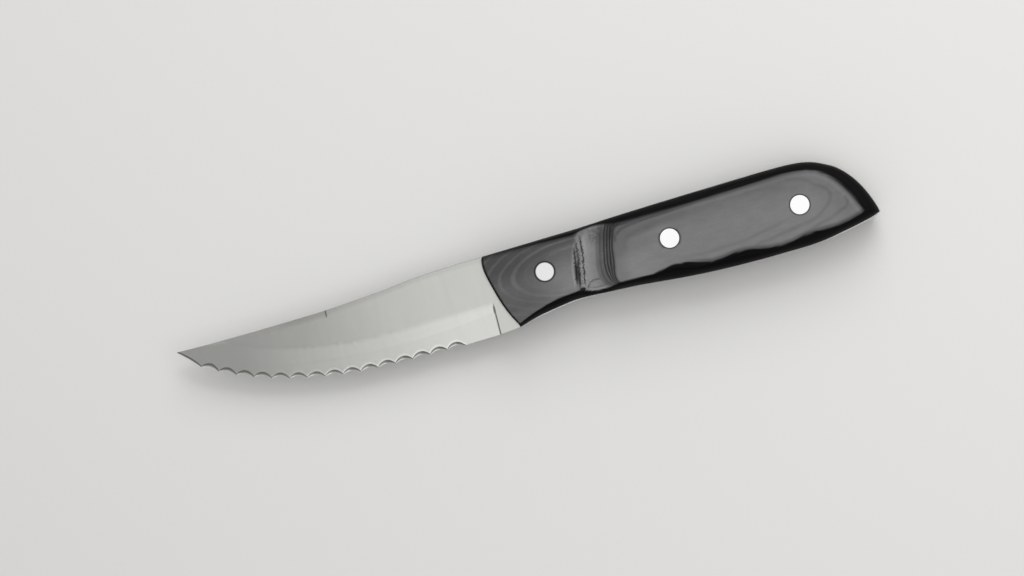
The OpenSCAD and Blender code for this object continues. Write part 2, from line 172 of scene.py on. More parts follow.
def teethTips():
    # Tips at equal lengths along the drawn edge, the last one a little past the point
    steps = np.linalg.norm(np.diff(bladeEdge, axis=0), axis=1)
    runs = np.concatenate([[0], np.cumsum(steps)])
    count = int((runs[-1] - blade["plain"] - blade["pointLeft"]) // blade["pitch"])
    at = blade["plain"] + blade["pitch"] * np.arange(count + 1)
    tips = np.stack([np.interp(at, runs, bladeEdge[:, 0]), np.interp(at, runs, bladeEdge[:, 1])], axis=1)
    last = bladeEdge[-1] + blade["pastPoint"] * (bladeEdge[-1] - bladeEdge[-2]) / steps[-1]
    return np.vstack([tips, last])


tips = teethTips()
swedgeEnd = blade["swedgeLength"] - blade["length"]
shoulderX = (blade["length"] - handle["length"]) / 2
lowest = min(tips[:, 1].min(), tangLow[:, 1].min())
highest = max(tangTop[:, 1].max(), bladeSpine[:, 1].max())
shoulderY = -(highest + lowest) / 2
midZ = handle["scale"] + blade["thickness"] / 2


def toMetres(u, v, z):
    # Drawn place to the row frame
    return np.stack([u + shoulderX, v + shoulderY, z], axis=-1).reshape(-1, 3) / perMetre


def addObject(name, data):
    thing = bpy.data.objects.new(name, data)
    bpy.context.scene.collection.objects.link(thing)
    return thing


def makePiece(name, points, faces, nodes, tones):
    # Mesh of a closed surface. Points that no face uses are dropped, and faces that have shrunk to a
    # line are left out
    faces = np.concatenate([np.asarray(f).reshape(-1, 4) for f in faces])
    lone = np.stack([faces[:, k] != faces[:, (k + 1) % 4] for k in range(4)], axis=1)
    keep = lone.sum(axis=1) >= 3
    faces, lone = faces[keep], lone[keep]
    used, packed = np.unique(faces, return_inverse=True)
    packed = packed.reshape(faces.shape)
    whole = lone.all(axis=1)
    triangles = packed[~whole][lone[~whole]].reshape(-1, 3)
    mesh = bpy.data.meshes.new(name)
    mesh.from_pydata(points[used].tolist(), [], packed[whole].tolist() + triangles.tolist())
    for label, values in tones.items():
        attribute = mesh.attributes.new(label, "FLOAT", "POINT")
        attribute.data.foreach_set("value", values.reshape(-1)[used].astype(np.float32))
    mesh.polygons.foreach_set("use_smooth", np.ones(len(mesh.polygons), bool))
    mesh.set_sharp_from_angle(angle=creaseAngle)
    mesh.update()
    piece = addObject(name, mesh)
    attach(piece, "root")
    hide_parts(*nodes)
    return piece


def signedDistance(u, v, line):
    # Distance to the nearest of a line's segments, positive on its left
    best, sign = np.full(u.shape, farAway), np.ones(u.shape)
    for a, b in zip(line[:-1], line[1:]):
        run = b - a
        t = clamp(((u - a[0]) * run[0] + (v - a[1]) * run[1]) / (run @ run))
        far = np.hypot(u - a[0] - t * run[0], v - a[1] - t * run[1])
        nearer = far < best
        sign = np.where(nearer, np.where(run[0] * (v - a[1]) > run[1] * (u - a[0]), 1, -1), sign)
        best = np.where(nearer, far, best)
    return best * sign


def gridFaces(numbers, keep, flip=False):
    # Four-cornered faces between neighbouring rows and columns of a grid of point numbers
    a, b = numbers[:-1, :-1], numbers[1:, :-1]
    c, d = numbers[1:, 1:], numbers[:-1, 1:]
    faces = np.stack([a, d, c, b] if flip else [a, b, c, d], axis=-1)
    return faces[keep]


def stripFaces(lower, upper, flip=False):
    # Closed band between two loops with the same count of points
    nextLower, nextUpper = np.roll(lower, -1), np.roll(upper, -1)
    sides = [lower, upper, nextUpper, nextLower] if flip else [lower, nextLower, nextUpper, upper]
    return np.stack(sides, axis=-1)


def openHole(u, v, centre, radius, share=0.92, reach=2.3):
    # A block of the grid round the centre is drawn onto a circle, and the points outside it follow
    # less and less. Returns the moved grid, the block's limits and the circle's unit directions
    du, dv = u - centre[0], v - centre[1]
    far = np.hypot(du, dv)
    i, j = np.unravel_index(far.argmin(), far.shape)
    nI = max(2, round(share * radius / abs(u[i + 1, j] - u[i, j])))
    nJ = max(2, round(share * radius / abs(v[i, j + 1] - v[i, j])))
    rows, cols = np.indices(u.shape)
    block = np.maximum(abs(rows - i) / nI, abs(cols - j) / nJ)
    pull = 1 - smooth((block - 1) / (reach - 1))
    target = (1 - pull) * far + pull * radius * block
    factor = np.where(far > 1e-6, target / np.maximum(far, 1e-6), 1)
    return centre[0] + du * factor, centre[1] + dv * factor, (i - nI, i + nI, j - nJ, j + nJ)


def blockLoop(limits, cols):
    # Point numbers round a block of the grid, against the clock
    i0, i1, j0, j1 = limits
    i, j = np.arange(i0, i1 + 1), np.arange(j0, j1 + 1)
    return np.concatenate([
        i * cols + j0, i1 * cols + j[1:], i[-2::-1] * cols + j1, i0 * cols + j[-2:0:-1]])


def cellsOutside(shape, blocks):
    # True for the grid's cells that lie in none of the blocks
    keep = np.ones((shape[0] - 1, shape[1] - 1), bool)
    for i0, i1, j0, j1 in blocks:
        keep[i0:i1, j0:j1] = False
    return keep


def toothedEdge():
    # Along each chord between two tips the edge rises by the scallop's depth times one less the
    # wheel's own rise over that chord
    b = blade
    tilt = math.radians(b["wheelTilt"])
    slope = (b["thickness"] - b["edgeLeft"]) / 2 / b["grind"]
    wheels, lines = [], []
    for k in range(len(tips) - 1):
        first, last = tips[k], tips[k + 1]
        middle = (first + last) / 2
        atPoint = k == len(tips) - 2
        depth = b["pointRise"] if atPoint else b["rise"]
        samples = b["samplesPerTooth"] * (2 if atPoint else 1)
        sag = depth * (math.sin(tilt) + slope * math.cos(tilt))
        chord = float(np.linalg.norm(last - first))
        radius = (chord**2 / 4 + sag**2) / (2 * sag)
        along = (first - last) / chord
        up = np.array([-along[1], along[0]])
        wheels.append({"middle": middle, "along": along, "up": up, "sag": sag, "radius": radius})
        s = np.linspace(0.5, -0.5, samples + 1)[1:] * chord
        drop = radius - np.sqrt(radius**2 - s**2)
        lines.append(middle + s[:, None] * along + (depth * (1 - drop / sag))[:, None] * up)
    return wheels, np.vstack(lines)


def steelSection(u, v, wheels):
    # Height of the left face over the steel's middle: the least of the full half thickness, the
    # flat grind, the false edge and every scallop. The right face has no scallops
    b = blade
    half, left = b["thickness"] / 2, b["edgeLeft"] / 2
    line = np.vstack([bladeEdge, tips[-1:]])
    near = np.abs(signedDistance(u, v, np.vstack([line[:-1:b["nearStep"]], line[-1:]])))
    grind = left + (half - left) * near / b["grind"]
    wall = clamp((u + b["plungeGap"]) / b["wallWidth"] + 1)
    ground = np.minimum(half, grind + (half - grind) * wall)
    spineHere = heightAt(u, bladeSpine[::-1])
    thin = b["swedgeLeft"] / 2
    swedge = thin + (half - thin) * (spineHere - v) / b["swedgeWidth"]
    notch = (half - thin) * (u - swedgeEnd) * b["notchSlope"]
    right = np.minimum(ground, np.where(u < swedgeEnd, swedge, swedge + notch))
    tilt = math.radians(b["wheelTilt"])
    scallop = np.full(u.shape, farAway)
    for wheel in wheels:
        place = np.stack([u, v], axis=-1) - wheel["middle"]
        s, y = place @ wheel["along"], place @ wheel["up"]
        drop = wheel["radius"] - np.sqrt(np.maximum(wheel["radius"]**2 - s**2, 0))
        height = (y * math.sin(tilt) - wheel["sag"] - left * math.cos(tilt) + drop) / math.cos(tilt)
        inside = abs(s) < wheel["radius"] * b["wheelReach"]
        scallop = np.where(inside, np.minimum(scallop, height), scallop)
    scallop = np.where(u < -b["plungeGap"], scallop, farAway)
    return np.minimum(right, scallop), right, scallop - right, near


def steelGrid(teeth):
    # Columns at the teeth's points, across the two walls and at even steps. Rows from edge to spine
    # crowd at the edge on the blade and are even on the tang, with a smooth step between the two
    b = blade
    length = handle["length"]
    low = np.vstack([[bladeEdge[0]], [tips[0]], teeth])[::-1]
    low = np.vstack([low, tangLow])
    top = np.vstack([bladeSpine[::-1], tangTop])
    starts = (swedgeEnd, -b["plungeGap"] - b["wallWidth"])
    cells = b["wallCells"]
    walls = [start + k * b["wallWidth"] / cells for start in starts for k in range(cells + 1)]
    evenEnd, drawnStart, last = (length - gap for gap in b["buttColumns"])
    plain = np.arange(tips[0, 0], tangLow[0, 0], b["step"])
    tang = np.arange(tangLow[0, 0], evenEnd, b["step"])
    drawn = top[top[:, 0] > drawnStart][:, 0]
    columns = np.unique(np.round(np.concatenate([teeth[:, 0], walls, plain, tang, drawn, [last]]), 3))
    columns = columns[np.concatenate([[True], np.diff(columns) > b["leastColumn"]])]
    lowV, topV = heightAt(columns, low), heightAt(columns, top)
    height = (topV - lowV)[:, None]
    count = b["edgeRows"] + b["bodyRows"]
    k = np.arange(count + 1)[None, :]
    zone = np.minimum(b["edgeZone"], height * b["edgeShare"])
    rimRow = np.minimum(b["breakEdge"], height * b["rimShare"])
    body = (k - b["edgeRows"]) / (b["bodyRows"] - 1)
    crowded = k / b["edgeRows"] * zone
    bladeRows = np.where(k <= b["edgeRows"], crowded, zone + (height - rimRow - zone) * body)
    tangRows = rimRow + (height - 2 * rimRow) * (k - 1) / (count - 2)
    share = rise(columns, *b["rowsChange"])[:, None]
    rows = bladeRows * (1 - share) + tangRows * share
    rows[:, 0] = 0
    rows[:, -1] = height[:, 0]
    u = np.repeat(columns[:, None], count + 1, axis=1)
    return u, lowV[:, None] + rows, rows, topV[:, None]


# the first five are a band's middle, half width and height
steelTones = {
    # rim: painted shade along the inner border of a scallop; beside: a painted highlight just outside that
    # border
    "rim": (-0.05, 0.11, 1.2),  # inner border of a scallop
    "beside": (0, 0.2, 1.15),  # light line outside that border
    # edge: a painted glint along the sharp lower border of a scallop
    "edge": (0, 0.24, 1.3),  # sharp lower border of a scallop
    # wall: painted shade on the plunge walls and at the notch behind the false edge
    "wall": (0, 0.24, 1.25),  # plunge walls
    "tip": (0, 0.8, 1.3),  # light on the points between the scallops
    "film": 0.02, "scallopSoft": 0.05,
    "plungeTop": (-16.4, -17.9), "notchTop": (-2.6, -1.8),
    # upper border of the ground band, softer and higher towards the handle
    "grindChange": (-36, -16), "grindOut": (0.6, 0.9), "grindSoft": (1.5, 0.7),
    "spineFade": (0.4, 2.4),
    "spineShade": ((-90, -74, -66, -52, -30, -14, -2), (0.03, 0.07, 0.2, 0.13, 0.14, 0.1, 0.1)),
}


def band(place, name):
    # A tone's height less the distance from its middle over its half width
    middle, half, height = steelTones[name]
    return clamp(height - np.abs(place - middle) / half)


def toneSteel(u, v, rows, topV, over, near):
    # Tones for the finish, as bands and smooth steps: painted shade along the scallops' inner borders,
    # painted highlights beside them, along their sharp lower borders and on the points, painted shade on
    # the two walls, the ground band and a soft painted shade along the spine
    b = blade
    t = steelTones
    onBlade = u < -b["plungeGap"]
    nothing = np.zeros(u.shape)
    rim = band(over, "rim") * (over < 0)
    beside = band(over, "beside") * (over >= 0)
    edge = band(rows, "edge") * (over < -t["film"])
    plunge = band(u + b["plungeGap"] + b["wallWidth"] / 2, "wall")
    plunge = plunge * rise(v, *t["plungeTop"])
    notch = band(u - swedgeEnd - b["wallWidth"] / 2, "wall")
    notch = notch * rise(v - topV, *t["notchTop"])
    walls = np.maximum(plunge, notch)
    soft = rise(u, *t["grindChange"])
    outer = b["grind"] + t["grindOut"][0] + t["grindOut"][1] * soft
    grind = smooth((outer - near) / (t["grindSoft"][0] + t["grindSoft"][1] * soft)) * onBlade
    toTip = np.min([np.hypot(u - tip[0], v - tip[1]) for tip in tips[:-1]], axis=0)
    tip = band(toTip, "tip") * (over > -t["film"])
    spine = (1 - rise(topV - v, *t["spineFade"])) * np.interp(u, *t["spineShade"]) * (u < 0)
    tones = {
        "rimLine": (rim, nothing), "besideLine": (beside, nothing), "plungeLine": (walls, walls),
        "grindShare": (grind, grind), "scallopShare": (smooth(-over / t["scallopSoft"]), nothing),
        "edgeLine": (edge, nothing), "tipLight": (tip, tip), "spineShade": (spine, spine)}
    return {name: np.concatenate(pair) for name, pair in tones.items()}


def buildSteel():
    # Two faces over one grid, joined round the border and through the three holes
    b = blade
    wheels, teeth = toothedEdge()
    teeth = teeth[teeth[:, 0] > -b["length"] + b["pointGap"]]
    u, v, rows, topV = steelGrid(teeth)
    columns = u[:, 0]
    holes = []
    for place in rivetPlaces:
        u, v, limits = openHole(u, v, place, rivet["tube"] / 2 + rivet["gap"])
        holes.append(limits)
    left, right, over, near = steelSection(u, v, wheels)
    # the spine and the tang's rim are broken by a small rounding
    rim = np.zeros(u.shape)
    rim[:, -1] = b["breakEdge"]
    rim[columns > -b["plungeGap"], 0] = b["breakEdge"]
    rim[-1, :] = b["breakEdge"]
    left, right = left - rim, right - rim
    left = np.maximum(left, -right + b["leastLeft"])
    number = np.arange(u.size).reshape(u.shape)
    points = np.vstack([toMetres(u, v, midZ + left), toMetres(u, v, midZ - right)])
    keep = cellsOutside(u.shape, holes)
    border = blockLoop((0, u.shape[0] - 1, 0, u.shape[1] - 1), u.shape[1])
    faces = [gridFaces(number, keep), gridFaces(number + u.size, keep, flip=True)]
    faces.append(stripFaces(border + u.size, border))
    for limits in holes:
        loop = blockLoop(limits, u.shape[1])
        faces.append(stripFaces(loop + u.size, loop, flip=True))
    tones = toneSteel(u, v, rows, topV, over, near)
    return makePiece("blade_with_tang", points, faces, ["blade_tang"], tones)


def faceHeight(u, v, roll):
    # Height of a scale's face: full height less the front slope, less the leaning groove, less the
    # soft roll along the upper border
    h = handle
    dropU = clamp((h["taperLength"] - u) / h["taperLength"])
    dropV = clamp((np.abs(v - rivetPlaces[0, 1]) - h["flat"] * h["width"]) / (h["slope"] * h["width"]))
    fade = clamp(1 - u / (h["groove"][0] * h["length"]))
    front = h["taperDrop"] * (dropU**2 + dropV**2 * fade)**h["taperPower"]
    bend = lambda shares: shares[2] * clamp((v / h["width"] - shares[0]) / (shares[1] - shares[0]))**2
    lean = h["grooveLean"] * (v - h["grooveLevel"] * h["width"])
    wall = (u - lean) / h["length"] - bend(h["topBend"])
    ramp = wall - bend(h["lowBend"])
    start, floor, foot, end = h["groove"]
    groove = h["grooveDepth"] * rise(wall, start, floor) * rise(ramp, end, foot)
    return h["scale"] - front - groove - h["rollDrop"] * roll


def hollow(u):
    # Rise of the lower border over each finger hollow: a squared cosine of its depth
    rises = []
    for middle, half, depth in handle["fingers"]:
        off = (u / handle["length"] - middle) / half
        rises.append(depth * np.where(abs(off) < 1, np.cos(np.pi / 2 * off)**2, 0))
    return handle["fingerRise"] * np.max(rises, axis=0)


def footLine(line, u, side, show):
    # The tang's line moved square to itself into the handle
    probe = handle["probe"]
    slope = (heightAt(u + probe, line) - heightAt(u - probe, line)) / (2 * probe)
    size = np.hypot(slope, 1)
    return u + show * side * slope / size, heightAt(u, line) - show * side / size


def scaleGrid():
    # Lines across the handle: an even turn of a quarter ellipse up from the foot, a straight run over
    # the face, and the same turn down. The first lines bow towards the blade
    h = handle
    steps = h["rowsPerStation"]
    stations = through(h["stations"], h["length"], h["length"], steps)
    faceTop = through(h["faceTop"], h["length"], h["width"], steps)
    faceLow = through(h["faceLow"], h["length"], h["width"], steps)
    faceLow[:, 1] += hollow(faceLow[:, 0])
    lowFoot = footLine(tangLow, stations[:, 1], -1, np.interp(stations[:, 1], *h["showLow"]))
    topFoot = footLine(tangTop, stations[:, 0], 1, np.interp(stations[:, 0], *h["showTop"]))
    turn = np.arange(h["roundCells"])[None, :] / h["roundCells"]
    even = 1 - np.cos(np.pi / 2 * turn)
    k = np.arange(h["faceCells"] + 1)[None, :] / h["faceCells"]
    column = lambda a: a[:, None]
    rounded = lambda outer, inner: column(outer) + column(inner - outer) * even

    def across(axis):
        low, top = faceLow[:, axis], faceTop[:, axis]
        flat = column(low) + column(top - low) * k
        return np.hstack([rounded(lowFoot[axis], low), flat, rounded(topFoot[axis], top)[:, ::-1]])

    u, v = across(0), across(1)
    turns = np.concatenate([turn[0], np.ones(h["faceCells"] + 1), turn[0, ::-1]])
    lift = np.sin(np.pi / 2 * turns)[None, :] + np.zeros(u.shape)
    up = clamp((v - column(lowFoot[1])) / column(topFoot[1] - lowFoot[1]))
    line = np.arange(len(u))[:, None] / (h["bowStations"] * steps)
    power = np.where(up < 0.5, *h["bowPowers"])
    u = u - h["bow"] * clamp(1 - line)**2 * (1 - np.abs(2 * up - 1)**power)
    below = column(faceTop[:, 1]) - v
    roll = clamp(1 - below / h["rollWidth"])**2 * window(u, *h["rollSpan"])
    return u, v, lift, roll


faceTones = {
    # upper and lower border of the grey face to the butt's corner, and how softly it ends
    "top": [
        (-6, -0.45), (8, -0.38), (28, -0.55), (31, -0.6), (33, -0.1), (35, 0.25), (38, 0.65), (41, 0.6),
        (43, 0.3), (46, -0.3), (50, -0.45), (58, -0.3), (66, -0.1), (74, 0.2), (82, 0.55), (90, 0.9),
        (98, 1.3), (104, 1.6), (108, 1.45), (112, 0.95), (115.2, -0.05), (118.35, -2.1), (120.35, -4.1),
        (121.9, -6.1), (123.2, -8.1), (124.45, -10.1), (125.45, -12), (126.3, -14), (127.2, -16),
        (128.5, -19)],
    "low": [
        (4.5, -25.8), (7, -24.6), (9, -23.7), (11, -22.85), (13, -22.1), (15, -21.5), (17, -20.8),
        (19, -20.35), (21, -19.8), (23, -19.5), (27, -19.15), (29, -19), (30.5, -19.35), (33, -20.2),
        (35, -20.5), (39, -20.45), (41, -20), (43, -19.75), (50, -19.75), (54, -19.8), (58, -18.95),
        (62, -18.4), (66, -18.7), (70, -19.8), (74, -20.7), (78, -20.45), (82, -19.75), (86, -19.8),
        (90, -20.4), (94, -21.05), (98, -21.35), (102, -20.95), (106, -20.05), (110, -19.65),
        (114, -19.65), (118, -19.55), (122, -18.85), (126, -17.7), (133, -15.2)],
    # frontSoft and frontLeast: on the front slope the grey face falls to its least share and the rest
    # turns black, as painted shade
    "topSoft": 0.375, "lowSoft": 0.21, "frontSoft": (0.15, 1.05), "frontLeast": 0.25,
    # bend of the lines on the groove's ramp: v, and how far they stand off along u
    "rampLines": [
        (-26, 6), (-20.5, 2.3), (-19.7, 1.15), (-18.6, 0.05), (-17, -0.65), (-15.5, -0.9), (-14.2, -0.95),
        (-12, -0.8), (-10, -0.4), (-8, 0), (-5, 0.75), (-2, 1.6), (-0.5, 2.25), (3, 4)],
    "rampCrest": [
        (-26, 1), (-20, -0.4), (-19, -1.05), (-17.5, -1.35), (-16, -1.25), (-14, -0.85), (-12, -0.52),
        (-8, 0), (-5, 0.75), (-3, 1.4), (-1.7, 2.2), (-0.9, 3.5), (-0.3, 5), (3, 9)],
    "crestFrom": (41.2, 42.8),
    # the front edge of the groove: v, and where it lies along u
    "edge": [
        (-26, 27.4), (-19, 27.6), (-16, 28), (-12, 28.3), (-9.5, 28.85), (-8, 29.25), (-5, 30.1),
        (-3, 31), (-1.5, 31.9), (0, 33.1), (3, 36)],
    # seatRing: painted shade round a rivet's seat, its full part and its fade
    "seatRing": (0.12, 0.3),  # dark ring round a rivet: its full part and its fade
}
# layers that show on the face: half width, strength (pale where negative), window along u, points
faceLayers = [
    (0.5, 0.42, (42, 43, 52, 60), [
        (42.9, -4.6), (43.5, -3), (44.6, -1.75), (46.2, -1.15), (48, -0.9), (52, -0.5), (57, -0.2)]),
    (0.72, 0.36, (43, 44, 60, 72), [
        (44.3, -6), (45.1, -4.2), (46.5, -3.1), (48, -2.45), (50, -2.05), (52, -1.8), (55, -1.5),
        (58, -1.3), (64, -1), (70, -0.9)]),
    (2, 0.24, (44, 50, 55, 71), [
        (46.6, -9), (47.3, -6.8), (49.3, -5.5), (52, -5), (55, -4.6), (58, -4), (65.8, -3.2),
        (75.5, -3.2)]),
    (0.4, -0.2, (43, 44, 56, 62), [
        (44.6, -2.9), (46.5, -1.8), (49.3, -1.3), (52, -1.05), (56.4, -0.74), (61.9, -0.27)]),
    (0.5, -0.1, (44, 46, 70, 82), [
        (45.1, -5.2), (47.9, -3.4), (52, -2.7), (55.3, -2.2), (60.3, -1.9), (68.6, -1.2), (80, -0.7)]),
    (1, 0.15, (62, 74, 98, 104), [
        (65, -17.2), (71, -17.4), (77, -17.3), (82, -16.9), (86.7, -16.6), (90.5, -15.9), (94, -15.1),
        (98.5, -14.3), (102.5, -13.5)]),
    (1.15, 0.19, (86, 92, 130, 131), [
        (88, -19.6), (90.2, -19.1), (93.4, -18.7), (96.9, -18), (102.6, -17), (108.2, -16),
        (110.9, -15.4), (113.1, -14.4), (115, -13), (117, -11.2), (118, -9.2), (117.6, -7.5),
        (115.9, -5.7), (113.9, -4.6), (111.5, -2.4), (108.2, -0.9), (105, -0.4)]),
    (1.1, 0.2, (104, 109, 130, 131), [
        (106, -19.2), (108, -18.8), (110, -18.3), (112.5, -17.5), (117.1, -16.3), (120.3, -14.8),
        (122.4, -13.8), (123, -12.2), (122.7, -10.8)]),
    (2.4, 0.1, (93, 98, 101, 106), [(95, -1.6), (100, -2.6), (103.5, -3.2)]),
    (0.8, 0.1, (89, 91, 95, 97), [(90, -1.2), (93, -1.4), (95.8, -1.3)]),
    (1.15, -0.06, (104, 106, 112, 117), [
        (117.6, -7.5), (115.9, -5.7), (113.9, -4.6), (111.5, -2.4), (108.2, -0.9), (105, -0.4)]),
    (0.9, -0.27, (20, 22, 34, 35), [(20.4, -6.2), (22, -5.1), (24, -4.5), (27, -4.2), (30.3, -3.9)]),
    (1.7, 0.13, (14, 19, 34, 35), [(14, -6), (17, -4.7), (20, -3.8), (24, -3.1), (28, -2.8), (31, -2.7)])]


def layerShade(u, v):
    # Sum of each layer's strength times a smooth step of one less the distance over its half width
    shade = np.zeros(u.shape)
    for half, strength, span, points in faceLayers:
        far = np.abs(signedDistance(u, v, through(points, 1, 1, curveSteps["layers"])))
        shade += strength * smooth(1 - far / half) * window(u, *span)
    return shade


def toneScale(u, v, frontU, frontV):
    # Tones for the finish: the share of grey face, distances inside its borders, behind its front and
    # past the groove's edge, how far the ramp's lines stand off, the painted shade round the rivets'
    # seats, and the shade of the layers
    t = faceTones
    inTop = -signedDistance(u, v, np.array(t["top"], float))
    inLow = signedDistance(u, v, np.array(t["low"], float))
    inFront = u - np.interp(v, frontV, frontU)
    share = rise(inTop, -t["topSoft"], t["topSoft"]) * rise(inLow, -t["lowSoft"], t["lowSoft"])
    # the front slope turns mostly black, as painted shade
    share = share * (t["frontLeast"] + (1 - t["frontLeast"]) * rise(inFront, *t["frontSoft"]))
    inner, crest, edge = (heightAt(v, through(t[name], 1, 1, curveSteps["lines"]))
                          for name in ("rampLines", "rampCrest", "edge"))
    shift = inner + (crest - inner) * rise(u - crest, *t["crestFrom"])
    # painted shade round each rivet's seat, darkest next to the head
    ring = np.zeros(u.shape)
    full, fade = t["seatRing"]
    for place in rivetPlaces:
        far = np.hypot(u - place[0], v - place[1]) - rivet["head"] / 2 - rivet["gap"]
        ring = np.maximum(ring, clamp(1 - (far - full) / fade))
    return {"faceShare": share, "inTop": inTop, "inLow": inLow, "inFront": inFront, "lineShift": shift,
            "pastEdge": u - edge, "seatRing": ring, "layerShade": layerShade(u, v)}


def buildScale(name, node, side):
    # The face over its grid, a flat back over the same one, and three stepped holes between them
    h = handle
    u, v, lift, roll = scaleGrid()
    rows, cols = u.shape
    backU, backV = u.copy(), v.copy()
    seat = rivet["head"] / 2 + rivet["gap"]
    bore = rivet["tube"] / 2 + rivet["gap"]
    holes, loops = [], []
    for place in rivetPlaces:
        du, dv = u - place[0], v - place[1]
        u, v, limits = openHole(u, v, place, seat + rivet["seatChamfer"])
        loop = blockLoop(limits, cols)
        way = np.stack([du.reshape(-1)[loop], dv.reshape(-1)[loop]], axis=1)
        way = way / np.linalg.norm(way, axis=1)[:, None]
        backU.reshape(-1)[loop] = place[0] + bore * way[:, 0]
        backV.reshape(-1)[loop] = place[1] + bore * way[:, 1]
        holes.append(limits)
        loops.append((place, loop, way))
    z = h["side"] + (faceHeight(u, v, roll) - h["side"]) * lift
    number = np.arange(u.size).reshape(rows, cols)
    # the last line across closes on itself, along the ridge from the face's corner to the butt
    folded = number.copy()
    j = np.arange(cols)
    folded[-1] = number[-1, np.minimum(np.minimum(j, cols - 1 - j), h["roundCells"])]
    keep = cellsOutside(u.shape, holes)
    border = blockLoop((0, rows - 1, 0, cols - 1), cols)
    border = border[border <= (rows - 1) * cols]
    height = lambda a: midZ + side * (blade["thickness"] / 2 + a)
    points = [toMetres(u, v, height(z)), toMetres(backU, backV, height(np.zeros(u.shape)))]
    out = side < 0
    faces = [gridFaces(folded, keep, flip=out), gridFaces(folded + u.size, keep, flip=not out),
             stripFaces(border + u.size, border, flip=out)]
    count = 2 * u.size
    tonesU, tonesV = [u, backU], [v, backV]
    # down the seat of the head, over its floor, and down the bore of the tube
    floor = h["scale"] - rivet["headHeight"]
    rings = [(seat, h["scale"] - rivet["seatChamfer"]), (seat, floor), (bore, floor)]
    for place, loop, way in loops:
        above = loop
        for radius, level in rings:
            ring = count + np.arange(len(loop))
            ringU, ringV = place[0] + radius * way[:, 0], place[1] + radius * way[:, 1]
            points.append(toMetres(ringU, ringV, height(np.full(len(loop), level))))
            tonesU.append(ringU)
            tonesV.append(ringV)
            faces.append(stripFaces(ring, above, flip=not out))
            above, count = ring, count + len(loop)
        faces.append(stripFaces(loop + u.size, above, flip=not out))
    join = lambda parts: np.concatenate([part.reshape(-1) for part in parts])
    tones = toneScale(join(tonesU), join(tonesV), u[0], v[0])
    return makePiece(name, np.vstack(points), faces, [node], tones)


def buildRivet(name, node, place, male, shine, darkRim):
    # A half profile carried round the rivet's axis, closed at both ends on the axis
    r = rivet
    total = 2 * handle["scale"] + blade["thickness"]
    head, tube, pin, bore = r["head"] / 2, r["tube"] / 2, r["pin"] / 2, r["pin"] / 2 + r["gap"]
    c, under, slack = r["chamfer"], r["headHeight"], r["slack"]
    crown = [head * share for share in r["crownShares"]] + [head - gap for gap in r["crownRims"]]
    if male:
        profile = [(0, under + slack), (pin - c, under + slack), (pin, under + slack + c),
                   (pin, total - under), (head, total - under), (head, total - c), (head - c, total)]
        profile += [(radius, total) for radius in crown[::-1]]
    else:
        end = total - slack - under
        profile = [(radius, 0) for radius in crown]
        profile += [(head - c, 0), (head, c), (head, under), (tube, under), (tube, end), (bore, end),
                    (bore, under), (0, under)]
    radius, level = np.array(profile).T[:, :, None]
    angle = np.linspace(0, 2 * np.pi, r["turns"], endpoint=False)[None, :]
    u, v = place[0] + radius * np.cos(angle), place[1] + radius * np.sin(angle)
    number = np.arange(u.size).reshape(u.shape)
    number[0], number[-1] = number[0, 0], number[-1, 0]
    faces = [stripFaces(number[k], number[k + 1]) for k in range(len(profile) - 1)]
    # painted shade round the rim of the head, as wide as darkRim
    dark = smooth((radius - head + darkRim) / rivetFinish["rimSoft"])
    tones = {"shine": np.full(u.shape, shine), "rimShade": dark + 0 * angle}
    return makePiece(name, toMetres(u, v, level + 0 * angle), faces, [node], tones)


class Wire:
    # one output of a shader, whose sums and products add their own Math nodes
    def __init__(self, tree, socket):
        self.tree, self.socket = tree, socket

    def maths(self, operation, *values):
        return addNode(self.tree, "Math", dict(enumerate(values)), operation=operation)[0]

    __add__ = __radd__ = lambda self, other: self.maths("ADD", self, other)
    __mul__ = __rmul__ = lambda self, other: self.maths("MULTIPLY", self, other)
    __sub__ = lambda self, other: self.maths("SUBTRACT", self, other)
    __rsub__ = lambda self, other: self.maths("SUBTRACT", other, self)
    __truediv__ = lambda self, other: self.maths("DIVIDE", self, other)
    __pow__ = lambda self, other: self.maths("POWER", self, other)
    __abs__ = lambda self: self.maths("ABSOLUTE", self)


def addNode(tree, kind, values=None, **settings):
    # Adds a node, sets it, fills or links its sockets, and returns its outputs
    node = tree.nodes.new("ShaderNode" + kind)
    for key, value in settings.items():
        setattr(node, key, value)
    for key, value in (values or {}).items():
        if isinstance(value, Wire):
            tree.links.new(value.socket, node.inputs[key])
        else:
            node.inputs[key].default_value = value
    return [Wire(tree, socket) for socket in node.outputs]


def ease(wire, low, high, amount=1.0):
    # Smooth step of a wire between two values, from nought to the amount
    values = {0: wire, 1: low, 2: high, 3: 0, 4: amount}
    return addNode(wire.tree, "MapRange", values, interpolation_type="SMOOTHSTEP")[0]


def span(wire, start, full, fading, end):
    # Smooth step up from start to full, times one less the smooth step from fading to end
    return ease(wire, start, full) * (1 - ease(wire, fading, end))


def ridge(wire, middle, half):
    # One at the middle, falling evenly to nought at half away
    share = 1 - abs(wire - middle) / half
    return share.maths("MINIMUM", share.maths("MAXIMUM", share, 0), 1)


def bump(wire, middle, half):
    # The ridge with a soft top and foot
    return ease(ridge(wire, middle, half), 0, 1)


def reachOf(u, v, middle, half):
    # Root of the sum of the squares of each distance over its half width
    return (abs((u - middle[0]) / half[0]) ** 2.0 + abs((v - middle[1]) / half[1]) ** 2) ** 0.5


def stairs(wire, steps):
    # Sum of smooth steps, each given by where it starts, where it ends and how far it rises
    return sum(ease(wire, *step) for step in steps)


def blend(wires, weights):
    # Sum of the named wires, each times its weight
    return sum(wires[name] * weight for name, weight in weights.items())


